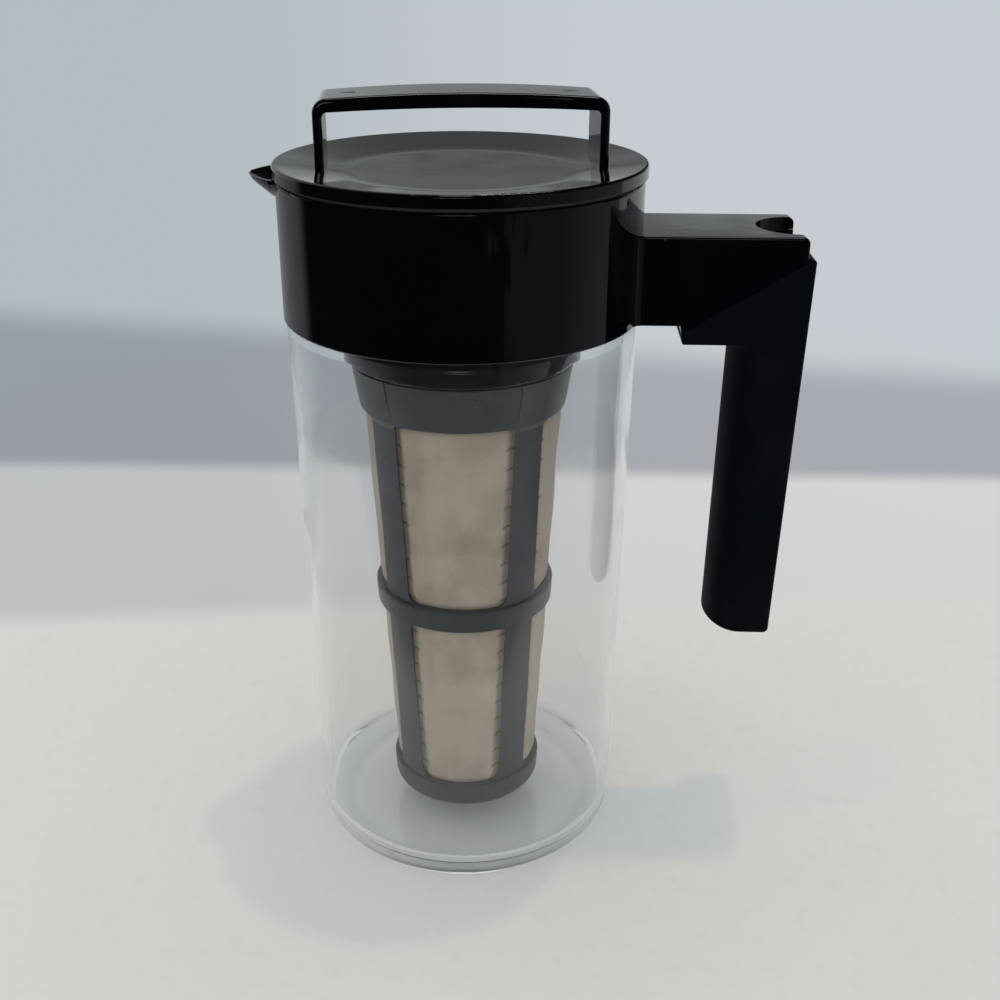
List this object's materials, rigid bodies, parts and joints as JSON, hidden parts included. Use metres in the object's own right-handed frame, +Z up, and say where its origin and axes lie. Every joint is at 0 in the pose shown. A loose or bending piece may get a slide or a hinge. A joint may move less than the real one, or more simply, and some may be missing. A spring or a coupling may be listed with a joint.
{
  "type": "cold brew coffee maker",
  "caption": "Clear tapered jug with a black pouring collar and side handle, a twist lid with a fixed bail, and a tall mesh filter hung from the lid.",
  "frame": {"origin": "middle of the jug's flat base, on the surface it stands on", "axes": "+Z up the jug's axis, +X along the handle's arm, -X along the spout, +Y across the handle"},
  "size_m": [0.1846, 0.1224, 0.2717],
  "materials": {
    "clear_plastic": "clear polished moulding",
    "black_gloss": "polished black moulding",
    "soft_black": "matt soft-touch sleeve",
    "seal_grey": "satin silicone",
    "filter_grey": "satin grey moulding",
    "nylon_mesh": "fine woven nylon mesh"
  },
  "bodies": {
    "jug": {"jug_body": "clear_plastic", "rim_seal": "seal_grey", "collar": "black_gloss", "handle_grip": "soft_black"},
    "gasket": {"lid_gasket": "seal_grey"},
    "lid": {"lid_cap": "black_gloss", "lid_bail": "black_gloss", "lid_plug": "black_gloss"},
    "washer": {"filter_seal": "seal_grey"},
    "filter": {"filter_frame": "filter_grey", "filter_mesh": "nylon_mesh"}
  },
  "joints": [
    {"name": "lid_lift", "type": "slide", "parent": "jug", "child": "gasket", "axis": [0, 0, 1], "range_m": [0, 0.245]},
    {"name": "lid_turn", "type": "hinge", "parent": "gasket", "child": "lid", "pos_m": [0, 0, 0.24565], "axis": [0, 0, -1], "range_deg": [0, 96.6]},
    {"name": "filter_drop", "type": "slide", "parent": "lid", "child": "washer", "axis": [0, 0, -1], "range_m": [0, 0.005]},
    {"name": "filter_turn", "type": "hinge", "parent": "washer", "child": "filter", "pos_m": [0, 0, 0.1919], "axis": [0, 0, -1], "range_deg": [0, 360]}
  ],
  "couplings": [
    {"joint": "filter_drop", "follows": "filter_turn", "m_per_rad": 0.000795}
  ]
}
